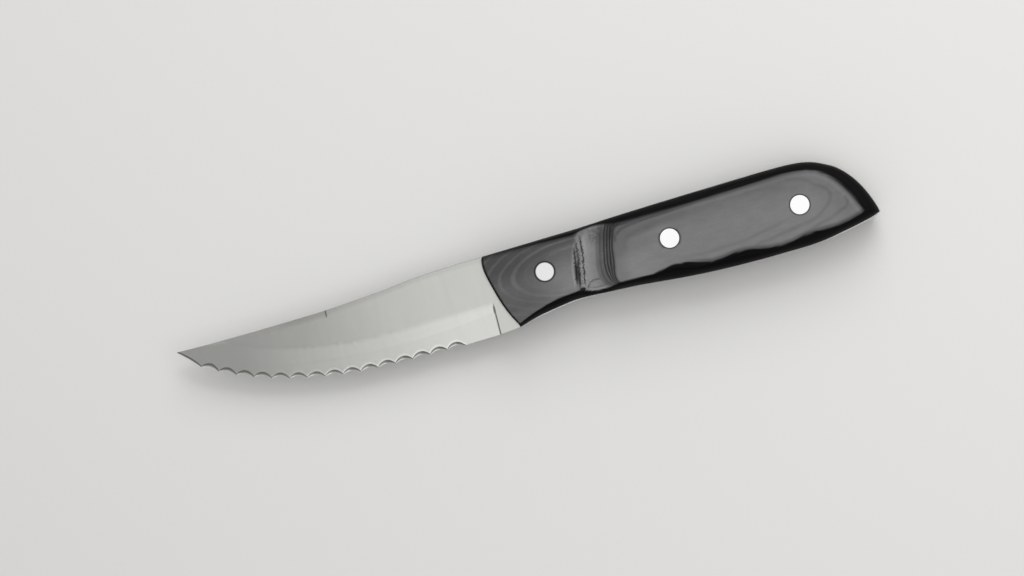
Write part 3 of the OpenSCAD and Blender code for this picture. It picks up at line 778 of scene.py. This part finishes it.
masks = {
    "rest": lambda wire: 1 - wire, "bump": bump, "span": span, "step": ease,
    "until": lambda wire, low, high: 1 - ease(wire, low, high),
    "outside": lambda wire, *numbers: 1 - span(wire, *numbers)}


def shaded(value, wires, shades):
    # The value times, for each shade, one plus its strength times its wires and its masks of wires. A
    # name that is no wire is one of the piece's own tones
    for strength, *parts in shades:
        share = strength
        for part in parts:
            kind, name, *numbers = (None, part) if isinstance(part, str) else part
            wire = wires.get(name) or tone(value.tree, name)
            share = (masks[kind](wire, *numbers) if kind else wire) * share
        value = value * (share + 1)
    return value


def tone(tree, name):
    return addNode(tree, "Attribute", attribute_name=name)[2]


def noise(place, scale, detail=2.0, roughness=0.5, stretch=(1, 1, 1)):
    # Noise about nought, in millimetres of the object's own place, stretched along the axes
    moved = addNode(place.tree, "VectorMath", {0: place, 1: stretch}, operation="MULTIPLY")[0]
    values = {"Vector": moved, "Scale": scale, "Detail": detail, "Roughness": roughness}
    return addNode(place.tree, "TexNoise", values, normalize=True)[0] - 0.5


def addMaterial(name):
    material = bpy.data.materials.new(name)
    material.use_nodes = True
    material.node_tree.nodes.clear()
    return material, material.node_tree


def startFinish(name, noises):
    # A material with its first wires, all in millimetres from the shoulder: noises, u and v
    material, tree = addMaterial(name)
    own = addNode(tree, "TexCoord")[3]
    scaled = addNode(tree, "VectorMath", {0: own, "Scale": perMetre}, operation="SCALE")[0]
    middle = (shoulderX, shoulderY, midZ)
    place = addNode(tree, "VectorMath", {0: scaled, 1: middle}, operation="SUBTRACT")[0]
    wires = {name: noise(place, *numbers) for name, numbers in noises.items()}
    wires["u"], wires["v"] = addNode(tree, "SeparateXYZ", {0: place})[:2]
    return material, tree, wires


def addShader(value, tint, roughness, height, bump, constants):
    # A shader whose colour is the value with a slight tint
    tree = value.tree
    white = addNode(tree, "CombineXYZ", {0: value, 1: value, 2: value})[0]
    colour = addNode(tree, "VectorMath", {0: white, 1: tint}, operation="MULTIPLY")[0]
    normal = addNode(tree, "Bump", {"Strength": bump[0], "Distance": bump[1], "Height": height})[0]
    values = {"Base Color": colour, "Roughness": roughness, "Normal": normal, **constants}
    return addNode(tree, "BsdfPrincipled", values)[0]


def finishMetal(name, s, more):
    # Bare metal, whose grey and roughness are blends of the wires
    material, tree, w = startFinish(name, s["noises"])
    more(w, tree)
    value = shaded(s["grey"] + blend(w, s["greyBlend"]), w, s["shades"])
    rough = s["rough"] + blend(w, s["roughBlend"])
    metal = addShader(value, s["tint"], rough, blend(w, s["bumpBlend"]), s["bump"], {"Metallic": 1.0})
    addNode(tree, "OutputMaterial", {"Surface": metal})
    return material


steelFinish = {
    "tint": (1, 1.008, 0.962), "grey": 0.562, "rough": 0.173, "bump": (0.05, 0.00002),
    # brushing square to the edge, its broad bands, and clouds
    "noises": {
        "fine": (1, 3, 0.6, (7, 0.22, 1)), "broad": (1, 2, 0.5, (0.55, 0.05, 0.3)),
        "cloud": (0.06, 2)},
    "greyBlend": {"fine": 0.028, "broad": 0.0336, "cloud": 0.04},
    "roughBlend": {"fine": 0.05, "cloud": 0.03}, "bumpBlend": {"fine": 1, "broad": 0.4},
    "shades": [
        # painted light on the ground band, painted highlights beside the scallops, along their lower
        # borders and on the points, and painted shade along the scallops' borders, inside the scallops, on
        # the walls and along the spine
        (1, "grindShare", "light"),
        (0.26, "besideLine", ("step", "u", -90, -45)),
        (-0.5, "rimLine"), (-0.72, "plungeLine"),
        (-0.34, "scallopShare", ("rest", "edgeLine")), (0.4, "edgeLine"),
        (0.35, "tipLight"), (-1, "spineShade")],
    # light on the ground band
    "light": 0.115, "belly": (-88, -64, -58, -36), "bellyLight": 0.24, "heel": (-60, -5, 0.09),
    # bow line in it: factors of u and of its square, height; and the darker stretch below it
    "bow": (0.1469, 0.00212, 19.3), "bowHalf": 0.8, "bowFrom": (-80, -62, 0.045),
    "under": (-1.2, 0.4), "underFrom": (-62, -30, 0.05),
}


def steelLight(w, tree):
    # Light on the ground band, less a faint bow line and the stretch below it
    s, u = steelFinish, w["u"]
    a, b, height = s["bow"]
    bow = w["v"] - (u * a + u * u * b - height)
    under = (1 - ease(bow, *s["under"])) * ease(u, *s["underFrom"])
    light = s["light"] + span(u, *s["belly"]) * s["bellyLight"] + ease(u, *s["heel"]) - under
    w["light"] = light - ridge(bow, 0, s["bowHalf"]) * ease(u, *s["bowFrom"])


rivetFinish = {
    "tint": (1, 1, 1), "grey": 0.93, "rough": 0.42, "bump": (0.04, 0.00002),
    "noises": {"fine": (2.2, 3, 0.6), "lines": (1, 2, 0.5, (9, 0.8, 1))},
    "greyBlend": {"fine": 0.05, "lines": 0.02}, "bumpBlend": {"fine": 1, "lines": 1},
    "roughBlend": {"fine": 0.08, "lines": 0.04, "shine": -0.3},
    "shades": [(-1, ("rest", "shine")), (-0.8, "rimShade")],
    # of the front, middle and rear pair: shine, and the width of the painted shade round the head's rim
    "shine": (0.82, 0.98, 1), "darkRim": (0.34, 0, 0), "rimSoft": 0.1,
}


def rivetShine(w, tree):
    w["shine"] = tone(tree, "shine")


laminateFinish = {
    "face": 0.182, "flank": 0.0025, "tint": (1, 1, 1.008), "plain": (1, 1, 1),
    "rough": 0.42, "grainRough": 0.08, "flankRougher": 0.1, "faceGlint": 0.3, "flankGlint": 0.04,
    "bump": (0.12, 0.00004),
    "noises": {
        "grain": (1.6, 3, 0.6), "ripple": (0.35, 2, 0.5, (1, 1.5, 1)), "rag": (1.5, 3, 0.68),
        "warp": (0.05, 2, 0.45, (1, 2.6, 1)), "crumb": (1.2, 2, 0.6),
        "mottle": (0.22, 3, 0.55, (1, 2, 1)), "streak": (0.45, 3, 0.6, (0.55, 2, 1)),
        "layer": (1, 2, 0.5, (0.05, 0.05, 2.6))},
    "flankLayers": (-0.05, 0.12, 1.2), "flankGrain": 0.6,
    "clouds": {"warp": 0.08, "mottle": 0.22, "streak": 0.22}, "layerStreak": 2.4,
    "grit": 0.3, "gritFade": (26, 44, 0.16),
    # painted shade along the upper border behind the groove: its strength, and its steps along u
    "rolled": 0.12, "rollShadeSteps": [(41, 46, 0.4), (64, 88, -0.27), (104, 114, -0.2)],
}
frontFinish = {
    # grey at the start, and how it grows downwards and to the rear: painted shade that leaves the sloping
    # front darker towards the front and the top
    "start": 0.38, "low": (4.5, 14, 0.24), "rear": (12, 28), "rearLight": 0.17,
    "rearLow": (3, 16, 0.3),
    # pale rings, their sharp and soft parts and the mean of both, and where they show
    "middle": (30, -10.5), "half": (21.7, 9), "pitch": 0.215, "phase": 3.53, "waver": 0.05,
    "thin": (1.05, 1.2, 0.5), "sharp": (0.1, 0.5, 0.5), "soft": (0.1, 1, 0.5), "mean": 0.25,
    "from": (0.75, 0.95, 0.4), "least": 0.3, "up": (-16, -9, 0.7),
}
grooveFinish = {
    # where the groove's own grey takes over, and the wall's lean and bend
    "behind": (-0.3, 0.8), "about": 10, "lean": 0.165, "bend": (-8, -1, 0.45),
    # grey of the valley, its rear half with painted light, and the steps of painted shade over the ramp
    # and behind it
    "valley": 0.86, "litBend": (-7, -1, 0.6), "lit": (30.6, 32, 0.5),
    "steps": [
        (33.8, 36.6, -0.26), (36.6, 37.6, -0.44), (39, 42.3, -0.2), (42.9, 44.1, 0.2), (44, 50, 0.2),
        (50, 62, 0.14)],
    "belly": (8.5, 14, 0.25), "bellySpan": (42.9, 44.1, 50, 62),
    # dark layer lines on the ramp: place, half width and strength
    "lines": [
        (38.6, 0.6, 0.34), (40.05, 0.43, 0.78), (41.05, 0.43, 0.84), (42, 0.4, 0.84), (42.87, 0.5, 0.78)],
    # ragged cuts in the front wall: place, half width, strength, upper and lower end
    "cuts": [
        (29.68, 0.66, 0.96, -3.8, -17.8), (29.8, 0.95, 0.99, -8.8, -17), (30.4, 0.6, 0.6, -8.5, -15),
        (30.78, 0.46, 0.85, -2.2, -18.9), (30.55, 0.55, 0.75, -11.5, -19.4),
        (32.35, 0.48, 0.96, -0.5, -18.9)],
    "cutEnds": (3, 2.5),
    # how far lines, cuts, arc, notch and foot waver with the ragged noise
    "ragLine": 0.22, "ragCut": 1.9, "ragArc": 1.5, "ragNotch": 0.6, "ragFoot": 1.2,
    "gritty": (0.26, 1.2), "arc": ((35, -20.2), (1, 1)), "notch": ((30, -19), (1 / 0.7, 1)),
    # foot: a painted highlight along the groove's lower rim, its place and half width, with its strength;
    # split: a dark line inside it, and its strength
    "foot": (0.35, 0.45), "footLight": 0.5, "split": (1, 0.4), "splitDark": 0.2,
}
# lit edge, crumbly walls, and ramp and valley darker towards the spine
grooveShades = [
    (0.45, ("bump", "past", 0, 0.7), ("span", "v", -18.5, -16, -1.6, 0.2)),
    (1.9, "crumb", ("bump", "wall", 31.2, 2.8), ("span", "v", -19, -17.5, -3, -1)),
    (-0.34, ("step", "v", -7.5, -3), ("span", "ramp", 38.3, 39.3, 43, 44.4)),
    (0.7, "crumb", ("bump", "ramp", 39.8, 3.2)),
    (0.24, ("bump", "wall", 33.4, 1), ("span", "v", -9, -5, -2.8, -0.5)),
    (-1, "gritty", ("step", "v", -6.5, -3.5), ("step", "u", 35.3, 36.8),
     ("until", "ramp", 38.3, 39.3))]
# arc and notch at the groove's lower end, a painted highlight along the groove's lower rim, painted shade
# in dark rolls along the borders and on the black front slope, the layers, mottling and grain, and painted
# shade round the rivets' seats
borderShades = [
    (-0.62, ("bump", "arc", 3.45, 0.48), ("step", "v", -19.4, -18.6), ("until", "u", 35.8, 37)),
    (-0.97, ("until", "notch", 0.45, 0.9)),
    (1, "foot", ("span", "u", 31.5, 33, 37, 39)),
    # painted shade in dark rolls along the upper and lower borders
    (-0.5, ("until", "inTop", 0.1, 1.5), ("outside", "u", 30.5, 33.5, 40, 43)),
    (-0.58, ("until", "inLow", 0.2, 1.6), ("step", "u", 62, 74)),
    # painted shade on the front slope, nearly black
    (-0.98, ("until", "inFront", 0.3, 0.92)),
    # painted shade along the upper border behind the groove
    (-1, "rolled", ("until", "inTop", -0.3, 6)),
    (-0.13, ("span", "inTop", 1.4, 2.6, 4.5, 11), ("step", "u", 58, 66)),
    (-1, "layers"), (1, "clouds"), (1, "grit"), (-0.72, "seatRing")]


def frontValue(w):
    # Grey in front of the groove, darker towards the front and the top as painted shade on its slope,
    # with pale rings round the first rivet, a sine of their reach
    f = frontFinish
    front = f["start"] + ease(w["down"], *f["low"])
    front = front + ease(w["u"], *f["rear"]) * (f["rearLight"] + ease(w["down"], *f["rearLow"]))
    reach = reachOf(w["u"], w["v"], f["middle"], f["half"])
    crest = (reach + w["ripple"] * f["waver"]) * (2 * math.pi / f["pitch"]) + f["phase"]
    crest = crest.maths("SINE", crest)
    rings = ease(crest - ease(reach, *f["thin"]), *f["sharp"]) + ease(crest, *f["soft"]) - f["mean"]
    return front * (1 + rings * ease(reach, *f["from"]) * (f["least"] + ease(w["v"], *f["up"])))


def grooveValue(w):
    # Grey from the groove's edge on: a pale valley with painted light at its rear, and the steps of
    # painted shade over the ramp and behind it
    g = grooveFinish
    lit = ease(w["wall"] + ease(w["v"], *g["litBend"]), *g["lit"])
    belly = ease(w["down"], *g["belly"]) * span(w["ramp"], *g["bellySpan"])
    return g["valley"] + lit + stairs(w["ramp"], g["steps"]) + belly


def faceWires(w, tree):
    # Everything that the shades of the face refer to by name
    s, g = laminateFinish, grooveFinish
    u, v, rag, low = w["u"], w["v"], w["rag"], tone(tree, "inLow")
    w["down"] = 0 - v
    w["past"] = tone(tree, "pastEdge")
    w["wall"] = u - (v + g["about"]) * g["lean"] + ease(v, *g["bend"])
    w["ramp"] = u - tone(tree, "lineShift")
    w["line"] = w["ramp"] + rag * g["ragLine"]
    w["cut"] = w["wall"] + rag * g["ragCut"]
    w["gritty"] = g["gritty"][0] + w["crumb"] * g["gritty"][1]
    w["arc"] = reachOf(u, v, *g["arc"]) + rag * g["ragArc"]
    w["notch"] = reachOf(u, v, *g["notch"]) + rag * g["ragNotch"]
    # painted highlight along the groove's lower rim, less a dark line inside it
    w["foot"] = bump(low, *g["foot"]) * g["footLight"]
    w["foot"] = w["foot"] - bump(low + rag * g["ragFoot"], *g["split"]) * g["splitDark"]
    w["rolled"] = s["rolled"] + stairs(u, s["rollShadeSteps"])
    w["layers"] = tone(tree, "layerShade") * (1 + w["streak"] * s["layerStreak"])
    w["clouds"] = blend(w, s["clouds"])
    w["grit"] = w["grain"] * (s["grit"] - ease(u, *s["gritFade"]))


def finishLaminate():
    # Grey face over black flanks: the front's grey up to the groove's edge and the groove's own from
    # there on, times all the shades of the lists
    s, g = laminateFinish, grooveFinish
    material, tree, w = startFinish("grey_black_laminate", s["noises"])
    faceWires(w, tree)
    behind = ease(w["past"], *g["behind"])
    value = frontValue(w) * (1 - behind) + grooveValue(w) * behind
    lines = [(-strength, ("bump", "line", at, half)) for at, half, strength in g["lines"]]
    upper, lower = g["cutEnds"]
    cuts = [(-strength, ("bump", "cut", at, half), ("span", "v", bottom, bottom + lower, top - upper, top))
            for at, half, strength, top, bottom in g["cuts"]]
    value = shaded(value, w, grooveShades + lines + cuts + borderShades) * s["face"]
    flank = s["flank"] * (1 + ease(w["layer"], *s["flankLayers"]) + w["grain"] * s["flankGrain"])
    rough, height = s["rough"] + w["grain"] * s["grainRough"], w["grain"] + w["rag"]
    face = addShader(value, s["tint"], rough, height, s["bump"], {"Specular IOR Level": s["faceGlint"]})
    sides = addShader(flank, s["plain"], rough + s["flankRougher"], height, s["bump"],
                      {"Specular IOR Level": s["flankGlint"]})
    both = addNode(tree, "MixShader", {0: tone(tree, "faceShare"), 1: sides, 2: face})[0]
    addNode(tree, "OutputMaterial", {"Surface": both})
    return material


steel = buildSteel()
print("blade and tang:", len(steel.data.polygons), "faces")
leftScale = buildScale("left_scale", "scale_left", 1)
rightScale = buildScale("right_scale", "scale_right", -1)
print("scales:", len(leftScale.data.polygons), "faces each")
rivets = []
for k, word in enumerate(("front", "middle", "rear")):
    place, shine, darkRim = rivetPlaces[k], rivetFinish["shine"][k], rivetFinish["darkRim"][k]
    for half, node, male in (("pin", "_rivet_male", True), ("tube", "_rivet_female", False)):
        name = word + "_rivet_head_and_" + half
        rivets.append(buildRivet(name, word + node, place, male, shine, darkRim))
print("rivets:", len(rivets), "halves")

steel.data.materials.append(finishMetal("satin_blade_steel", steelFinish, steelLight))
laminate = finishLaminate()
for piece in (leftScale, rightScale):
    piece.data.materials.append(laminate)
rivetSteel = finishMetal("polished_rivet_steel", rivetFinish, rivetShine)
for piece in rivets:
    piece.data.materials.append(rivetSteel)
print("finishes made")

studio = {
    "floor": (0.80, 0.795, 0.785, 1), "floorSize": 8, "floorRough": 0.9, "floorGlint": 0.1,
    "worldLow": 0.6, "worldHigh": 0.45, "worldSpan": (0.15, 0.85),
    # lamps: place, aim, size and radiance
    "above": ((0.381, 0, 0.685), (0.381, 0, 0), (0.914, 1.142), 0.6),
    "side": ((0.45, 0.95, 0.85), (0, 0, 0.01), (0.9, 0.9), 3.2),
    "lens": 300, "sensor": 36, "clipEnd": 50, "span": 0.34304, "lookAt": (-0.0059, -0.0012, 0.011),
    "turn": -14.5,
}


def addFloor():
    half = studio["floorSize"] / 2
    corners = [(-half, -half, 0), (half, -half, 0), (half, half, 0), (-half, half, 0)]
    mesh = bpy.data.meshes.new("floor")
    mesh.from_pydata(corners, [], [(0, 1, 2, 3)])
    material, tree = addMaterial("plain_pale_floor")
    values = {"Base Color": studio["floor"], "Roughness": studio["floorRough"],
              "Specular IOR Level": studio["floorGlint"]}
    shader = addNode(tree, "BsdfPrincipled", values)[0]
    addNode(tree, "OutputMaterial", {"Surface": shader})
    mesh.materials.append(material)
    addObject("floor", mesh)


def addLamp(name, place, aim, size, radiance):
    # A rectangular lamp that faces its aim; its power is radiance times pi times its area
    light = bpy.data.lights.new(name, "AREA")
    light.shape = "RECTANGLE"
    light.size, light.size_y = size
    light.energy = radiance * math.pi * size[0] * size[1]
    holder = addObject(name, light)
    x, y, z = np.array(place) - aim
    holder.location = place
    holder.rotation_euler = (math.atan2(math.hypot(x, y), z), 0, math.atan2(x, -y))


def addWorld():
    # A plain room, pale at the horizon and dimmer overhead
    world = bpy.data.worlds.new("room")
    bpy.context.scene.world = world
    world.use_nodes = True
    tree = world.node_tree
    tree.nodes.clear()
    way = addNode(tree, "TexCoord")[0]
    up = addNode(tree, "SeparateXYZ", {0: way})[2]
    level = studio["worldLow"] + ease(up, *studio["worldSpan"], studio["worldHigh"] - studio["worldLow"])
    light = addNode(tree, "Background", {"Color": (1, 1, 1, 1), "Strength": level})[0]
    addNode(tree, "OutputWorld", {"Surface": light})


def addCamera():
    camera = bpy.data.cameras.new("camera")
    camera.lens = studio["lens"]
    camera.sensor_width = studio["sensor"]
    camera.clip_end = studio["clipEnd"]
    holder = addObject("camera", camera)
    x, y, z = studio["lookAt"]
    holder.location = (x, y, z + studio["span"] * studio["lens"] / camera.sensor_width)
    holder.rotation_euler = (0, 0, math.radians(studio["turn"]))
    bpy.context.scene.camera = holder


addFloor()
addLamp("lampAbove", *studio["above"])
addLamp("lampSide", *studio["side"])
addWorld()
addCamera()
bpy.context.scene.view_settings.view_transform = "Standard"
print("stage set")
